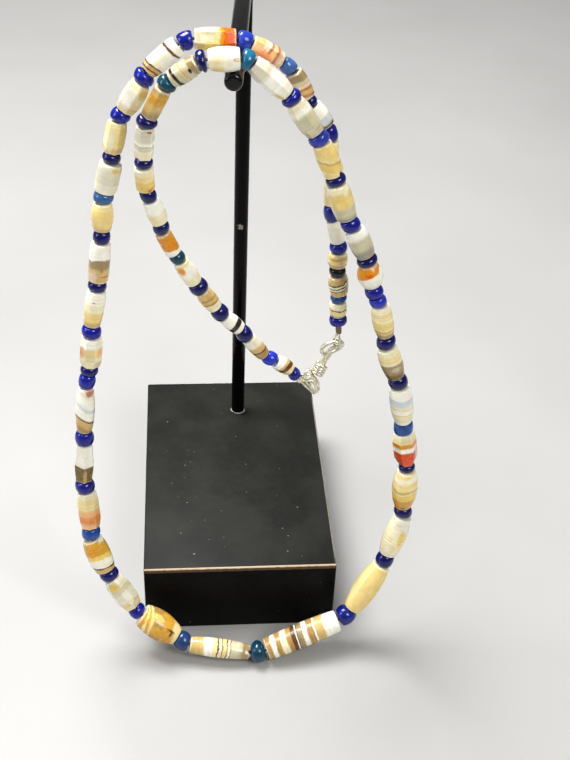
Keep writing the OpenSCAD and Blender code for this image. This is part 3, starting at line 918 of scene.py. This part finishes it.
# The hook's two strands, which part in its bow: how far out of the plane, how thick, and points
HOOK_STRANDS = [
    (-0.35, 1.1, [
        (24.5, 103.7), (23.9, 105), (24.6, 106.5), (26.4, 107.7), (28.6, 108), (29.6, 107.4), (29.3, 106.5),
        (27.9, 106.1), (26.5, 105.2), (25.6, 103.8), (24.8, 102), (24.2, 100.4), (23.8, 98.6),
    ]),
    (0.35, 0.85, [
        (24.3, 103.9), (23.9, 105.2), (24.8, 106.6), (26.8, 107.6), (29.2, 107.9), (30.4, 107),
        (29.9, 105.5), (28.6, 104.4), (27.2, 103.5), (26.2, 101.8), (25.3, 99.8), (24.6, 98),
    ]),
]
# The wrapped coil: its ends, its way from front to back, its width, wire, turns and steps in a turn
COIL = [(24.5, 99.4), (22.9, 95.6)]
COIL_DEPTH = (0.1, 0.8, -0.6)
COIL_WIDTH = 4.1
COIL_WIRE = 1.0
COIL_TURNS = 4
COIL_STEPS = 28
# Where the points of the coil's core lie between its ends
CORE_PLACES = (0.2, 0.5, 0.8)
# The hook's lower eye, a leaning ring
EYE_CENTRE = (20.5, 95.7)
EYE_WIDTH = 1.45
EYE_HEIGHT = 1.7
EYE_LEAN = 1.0
EYE_STEPS = 40
LOOP = [
    (18.3, 94.9), (18.4, 93), (19.6, 91.3), (21.2, 89.5), (22.6, 88.3), (23.7, 89.2),
    (23.7, 91.2), (23, 93.4), (21.9, 94.8), (20.2, 95.5),
]
# Thin strands across the loop: how far out of the plane, and points
LOOP_STRANDS = [
    (-0.3, [(18.9, 93.2), (20.6, 93.4), (22.4, 93), (23.4, 91)]),
    (-0.35, [(18.5, 94.8), (20.1, 92.5), (21.8, 90.3), (22.8, 89)]),
    (-0.15, [(21.3, 94.6), (22.3, 92.3), (23, 89.8)]),
    (0.2, [(22.7, 94), (21.3, 92), (21.6, 89.8)]),
    (0.35, [(19.3, 94), (21, 93), (22.7, 91.4)]),
]
EYELET = [(28.5, 110.8), (27.8, 108.7), (27.6, 107), (28.4, 105.4), (29.3, 106.7), (29.2, 108.7)]
EYELET_LEAN = 1.0
# Widths of the wires, and the crimps' width, distance from the bead and lengths
WIRE = 0.85
THIN_WIRE = 0.6
EYELET_WIRE = 0.7
CRIMP_WIDTH = 1.8
CRIMP_START = 0.3
LOOP_CRIMP_LENGTH = 1.4
EYELET_CRIMP_LENGTH = 2.4
# Steps between two points of a curve, sides of a wire, and the angles of its round tip's rings
CURVE_STEPS = 8
WIRE_SIDES = 12
TIP_ANGLES = (0.4, 0.8, 1.2, 1.5)
# No wire starts along this direction
ACROSS = (0, 1, 0.01)


def smooth(points, closed=False):
    """A cubic through the points, its direction at each weighted by the spans beside it"""
    points = [np.array(p, float) for p in points]
    n = len(points)

    def heading(i):
        before = points[i] - points[(i - 1) % n if closed else max(i - 1, 0)]
        after = points[(i + 1) % n if closed else min(i + 1, n - 1)] - points[i]
        a, b = np.linalg.norm(before), np.linalg.norm(after)
        if a == 0 or b == 0:
            return before / a if b == 0 else after / b
        return (before / a * b + after / b * a) / (a + b)

    line = []
    for i in range(n if closed else n - 1):
        start, end = points[i], points[(i + 1) % n]
        span = np.linalg.norm(end - start)
        for k in range(CURVE_STEPS):
            t = k / CURVE_STEPS
            line.append(start * (2 * t**3 - 3 * t**2 + 1) + heading(i) * span * (t**3 - 2 * t**2 + t)
                        + end * (3 * t**2 - 2 * t**3) + heading((i + 1) % n) * span * (t**3 - t**2))
    if not closed:
        line.append(points[-1])
    return line


def wire(name, line, width, material, closed=False):
    """A round wire along a line, both in mm, with round tips where it isn't closed"""
    line = np.asarray(line, float)
    ahead = np.roll(line, -1, 0) - np.roll(line, 1, 0)
    if not closed:
        ahead[0] = line[1] - line[0]
        ahead[-1] = line[-1] - line[-2]
    ahead /= np.linalg.norm(ahead, axis=1)[:, None]
    angle = angles(WIRE_SIDES)
    side = np.cross(ahead[0], ACROSS)
    rings = []
    for point, way in zip(line, ahead):
        side = side - way * (side @ way)
        side /= np.linalg.norm(side)
        other = np.cross(way, side)
        rings.append(point + width / 2 * (np.cos(angle)[:, None] * side + np.sin(angle)[:, None] * other))
    rings = np.array(rings)
    if not closed:
        for end, way in ((0, -1), (-1, 1)):
            out = way * ahead[end] * width / 2
            ring = rings[end] - line[end]
            tip = [line[end] + ring * math.cos(a) + out * math.sin(a) for a in TIP_ANGLES]
            rings = np.concatenate([tip[::-1], rings] if end == 0 else [rings, tip])
    return skin(name, rings * MM, material, closed=closed)


def on_clasp(point, offset=0.0):
    return np.array([point[0], CLASP_Y + offset, point[1]])


def curve(points, offset=0.0, closed=False):
    """A smooth line through points of the clasp, all of it as far out of the plane"""
    return [on_clasp(p, offset) for p in smooth(points, closed)]


def coil_line():
    top, bottom = map(on_clasp, COIL)
    axis = (bottom - top) / np.linalg.norm(bottom - top)
    other = COIL_DEPTH / np.linalg.norm(COIL_DEPTH)
    side = np.cross(other, axis)
    side /= np.linalg.norm(side)
    reach = (COIL_WIDTH - COIL_WIRE) / 2
    steps = COIL_TURNS * COIL_STEPS
    line = []
    for k in range(steps + 1):
        turn = 2 * math.pi * COIL_TURNS * k / steps
        out = math.cos(turn) * side + math.sin(turn) * other
        line.append(top + (bottom - top) * k / steps + reach * out)
    return line


def eye_line():
    line = []
    for turn in angles(EYE_STEPS):
        x = EYE_CENTRE[0] + EYE_WIDTH * math.cos(turn)
        z = EYE_CENTRE[1] + EYE_HEIGHT * math.sin(turn)
        line.append(on_clasp((x, z), EYE_LEAN * math.cos(turn)))
    return line


def eyelet_line():
    """The eyelet's outline, leaning from one side of the plane to the other"""
    middle = (EYELET[1][0] + EYELET[5][0]) / 2
    half = (EYELET[5][0] - EYELET[1][0]) / 2
    return [on_clasp(p, -EYELET_LEAN * (p[0] - middle) / half) for p in smooth(EYELET, True)]


def crimp(name, end, way, length, material):
    """A short tube beside a bead's end, along the string"""
    start = np.array(end) / MM + np.array(way) * CRIMP_START
    stop = start + np.array(way) * length
    return wire(name, [start, (start + stop) / 2, stop], CRIMP_WIDTH, material)


def silver_wire(tree):
    """Silver wire, yellowish, darker and paler in patches that follow a noise"""
    mm = object_mm(tree)
    patches = noise(mm, 0.9, 2)
    stops = [(0.3, light(186, 178, 142)), (0.45, light(228, 222, 194)), (0.65, light(248, 245, 230))]
    return {
        "Base Color": ramp(patches, stops),
        "Metallic": 0.85,
        "Roughness": rescale(patches, *NOISE_RANGE, 0.42, 0.28),
        "Normal": bump(noise(mm, 1.2, 2), 0.02, 0.2),
    }


def fibre(tree, stretch, scale, stops, roughness):
    """Twisted or wound thread, its turns across the z axis"""
    turns = noise(combine("MULTIPLY", object_mm(tree), stretch), scale, 2)
    return {
        "Base Color": ramp(turns, stops),
        "Roughness": roughness,
        "Normal": bump(turns, 0.1, 1.0),
    }


def make_clasp(first_bead, last_bead):
    silver = new_material("silver_wire", silver_wire)
    hook = [wire("hook_strand", curve(points, out), width, silver) for out, width, points in HOOK_STRANDS]
    top, bottom = map(on_clasp, COIL)
    core = [top * (1 - t) + bottom * t for t in CORE_PLACES]
    hook += [
        wire("coil", coil_line(), COIL_WIRE, silver),
        wire("coil_core", core, COIL_WIDTH - 2 * COIL_WIRE, silver),
        wire("eye", eye_line(), WIRE, silver, closed=True),
    ]
    dress(join("silver_hook", hook), "hook_clasp")
    loop = [
        wire("loop", curve(LOOP, closed=True), WIRE, silver, closed=True),
        crimp("loop_crimp", first_bead.first, -first_bead.axis, LOOP_CRIMP_LENGTH, silver),
    ]
    loop += [wire("loop_strand", curve(points, out), THIN_WIRE, silver) for out, points in LOOP_STRANDS]
    dress(join("silver_loop", loop), "clasp_loop")
    browns = [(0.35, light(78, 58, 46)), (0.65, light(156, 124, 104))]
    wrap = new_material("thread_wrap", fibre, (0.5, 0.5, 6.0), 1.5, browns, 0.6)
    eyelet = [
        wire("eyelet", eyelet_line(), EYELET_WIRE, silver, closed=True),
        crimp("eyelet_crimp", last_bead.last, last_bead.axis, EYELET_CRIMP_LENGTH, wrap),
    ]
    dress(join("silver_eyelet", eyelet), "clasp_eyelet")


# Stand. Sizes are in mm

# How the base's edges and the rods' rims are rounded, and points round a rod
BASE_BEVEL = 0.5
BEVEL_STEPS = 3
SHARP_DEGREES = 35
ROD_RIM = 0.5
PEG_RIM = 1.0
RIM_STEPS = 5
ROD_AROUND = 64
# The ends of the peg's axis
PEG_TIP = Vector((-4, -41, 194.3))
PEG_FOOT = Vector((2.5, 32.5, 194.3))
# Shares of a rod's radius: where the peg stops before its foot, and how wide a ring its flat end has
PEG_SHORT = 0.6
END_RING = 0.5
# The lacquer's black, its duller black, its specks, and what dust and a painted sheen add on the base's top
BLACK = (0.0015, 0.0015, 0.0015)
DULL_BLACK = (0.006, 0.006, 0.0055)
SPECK = (0.5, 0.48, 0.44)
TOP_DUST_AND_SHEEN = (0.017, 0.0175, 0.015)
# How deep the top's dust and painted sheen reach, and where the noises show dust and specks
TOP_DEPTH = 0.4
DUST_RANGE = (0.3, 0.8)
SPECK_RANGE = (0.86, 0.9)
# Heights of the worn front edge's brown strip and of the pale line along its top, which is wear with a
# painted highlight, and how raggedly they end
STRIP_HEIGHT = 1.3
LINE_HEIGHT = 0.15
RAGGED = 0.5
# How far from the front and back corners the pale right edge begins and ends, and how softly
RIGHT_FRONT = 2
RIGHT_BACK = 12
RIGHT_SOFT = 8.0
# Far outside the base
BEYOND = 9
# The middle of the scuff on the rod, and how it fades from there
SCUFF = (-0.3, -2.4, 110.3)
SCUFF_RANGE = (2.25, 1.95)
SCUFF_RAGGED = 2.4
# How far the dried glue spreads round the rod, and its rings: shares of the spread, and heights
GLUE_SPREAD = 0.25
GLUE_RINGS = ((-0.2, 0.0), (1.0, 0.0), (0.8, 0.1), (0.35, 0.18), (-0.2, 0.3))
GLUE_SEED = 7


def black(tree, roughness, dusty, shine):
    """Black lacquer with uneven roughness and specks of dust"""
    mm = object_mm(tree)
    dust = noise(mm, 0.5, 5)
    specks = rescale(noise(mm, 1.1, 0), *SPECK_RANGE)
    colour = mix(rescale(dust, *DUST_RANGE, 0.0, dusty), BLACK, DULL_BLACK)
    return {
        "Base Color": mix(product(specks, dusty), colour, SPECK),
        "Specular IOR Level": shine,
        "Roughness": rescale(dust, *DUST_RANGE, roughness, roughness + 0.05),
        "Normal": bump(noise(mm, 0.15, 2), 0.05, 0.4),
    }


def base_lacquer(tree):
    """The base's lacquer: a dusty top with a painted sheen, a tan worn front edge with a painted highlight
    over a brown strip, and a pale right edge
    """
    plain = black(tree, 0.4, 0.5, 0.06)
    colour = plain["Base Color"]
    mm = object_mm(tree)
    low, high = (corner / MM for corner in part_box("stand_base"))
    x, y, z = (coordinate(mm, axis) for axis in "XYZ")
    ragged = noise(mm, 0.8, 4)
    ragged_z = nudge(z, ragged, RAGGED)
    # Only the top is made lighter: partly dust, partly a painted sheen from the light it faces
    mottled = rescale(noise(mm, 0.06, 6), 0.35, 0.65, 0.65, 1.05)
    dust = product(within(z, high.z - TOP_DEPTH, high.z + BEYOND), mottled)
    colour = combine("ADD", colour, combine("MULTIPLY", TOP_DUST_AND_SHEEN, dust))
    front = within(y, low.y - BEYOND, low.y + BASE_BEVEL)
    strip = product(front, within(ragged_z, high.z - STRIP_HEIGHT, high.z + BEYOND, 0.15))
    colour = mix(strip, colour, light(88, 68, 48))
    # The pale line along the front top edge: wear, with a painted highlight
    line = within(ragged_z, high.z - LINE_HEIGHT, high.z + BEYOND)
    line = product(front, line, rescale(ragged, 0.2, 0.45, 0.5, 1.0))
    colour = mix(line, colour, light(194, 172, 146))
    right = product(
        within(x, high.x - BASE_BEVEL, high.x + BEYOND),
        within(z, high.z - BASE_BEVEL, high.z + BEYOND),
        within(y, low.y + RIGHT_FRONT, high.y - RIGHT_BACK, RIGHT_SOFT),
        rescale(ragged, 0.2, 0.5, 0.4, 0.8),
    )
    return {**plain, "Base Color": mix(right, colour, light(150, 144, 130))}


def gloss_black(tree, shine):
    """Gloss black for the rod and the peg, with a small pale scuff on the rod"""
    plain = black(tree, 0.12, 0.1, shine)
    mm = object_mm(tree)
    reach = combine("LENGTH", combine("SUBTRACT", mm, SCUFF))
    reach = nudge(reach, noise(mm, 1.3, 3), SCUFF_RAGGED)
    scuff = rescale(reach, *SCUFF_RANGE, 0.0, 0.7)
    return {**plain, "Base Color": mix(scuff, plain["Base Color"], light(160, 154, 134))}


def make_base():
    low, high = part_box("stand_base")
    block = bmesh.new()
    bmesh.ops.create_cube(block, size=1)
    bmesh.ops.scale(block, vec=high - low, verts=block.verts)
    bmesh.ops.translate(block, vec=(low + high) / 2, verts=block.verts)
    bmesh.ops.bevel(block, geom=block.edges[:], offset=BASE_BEVEL * MM, segments=BEVEL_STEPS, profile=0.5,
                    affect="EDGES")
    mesh = bpy.data.meshes.new("black_base")
    block.to_mesh(mesh)
    block.free()
    mesh.shade_smooth()
    mesh.set_sharp_from_angle(angle=math.radians(SHARP_DEGREES))
    mesh.materials.append(new_material("black_lacquer", base_lacquer))
    dress(add_object("black_base", mesh), "stand_base")


def make_round_rod(name, radius, start, end, rim, place, material):
    """A rod along z from start to end, with both rims rounded"""
    turns = np.linspace(0, math.pi / 2, RIM_STEPS)
    low = [(radius - rim + rim * math.sin(a), start + rim - rim * math.cos(a)) for a in turns]
    high = [(radius - rim + rim * math.cos(a), end - rim + rim * math.sin(a)) for a in turns]
    rows = [(radius * END_RING, start), *low, *high, (radius * END_RING, end)]
    rings = np.array([circle(r, z, angles(ROD_AROUND)) for r, z in rows])
    return skin(name, rings * MM, material, place)


def make_rods():
    """The upright rod with its glue, and the peg"""
    low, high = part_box("stand_rod")
    radius = (high.x - low.x) / 2 / MM
    middle = (low + high) / 2
    place = Matrix.Translation((middle.x, middle.y, 0))
    material = new_material("black_gloss", gloss_black, 0.08)
    rod = make_round_rod("black_rod", radius, low.z / MM, high.z / MM, ROD_RIM, place, material)
    dress(rod, "stand_rod")
    way = PEG_FOOT - PEG_TIP
    turn = way.to_track_quat("Z", "Y").to_matrix().to_4x4()
    peg_place = Matrix.Translation(PEG_TIP * MM) @ turn
    material = new_material("peg_gloss", gloss_black, 0.35)
    length = way.length - radius * PEG_SHORT
    peg = make_round_rod("black_peg", radius, 0, length, PEG_RIM, peg_place, material)
    dress(peg, "stand_peg")
    make_glue(radius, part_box("stand_base")[1].z / MM, place)


def dried_glue(tree):
    return {"Base Color": light(160, 156, 142), "Roughness": 0.5}


def make_glue(radius, height, place):
    """A smear of dried glue round the rod's foot"""
    angle = angles(ROD_AROUND)
    phase = random.Random(GLUE_SEED).uniform(0, 6)
    spread = GLUE_SPREAD + 0.12 * np.cos(2 * angle + 1) + 0.08 * np.cos(5 * angle + phase)
    rings = np.array([circle(radius + spread * share, height + rise, angle) for share, rise in GLUE_RINGS])
    glue = skin("glue_ring", rings * MM, new_material("dried_glue", dried_glue), place, closed=True)
    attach(glue, "root")


# Thread

def dress_thread():
    browns = [(0.3, light(58, 44, 34)), (0.7, light(118, 94, 72))]
    material = new_material("thread_fibre", fibre, (1.0, 1.0, 4.0), 2.0, browns, 0.8)
    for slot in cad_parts["thread"].material_slots:
        slot.material = material


make_camera()
make_sky()
make_lights()
make_floor()
string = read_string()
agates = [(i, bead) for i, bead in enumerate(string, 1) if "agate" in bead.node]
for number, (place_in_string, bead) in enumerate(agates, 1):
    make_agate(number, place_in_string, bead)
for name in ("glass_beads_outer_loop", "glass_beads_inner_loop"):
    make_spacers(name, string)
make_clasp(string[0], string[-1])
make_base()
make_rods()
dress_thread()
bpy.context.scene.view_settings.view_transform = "Standard"
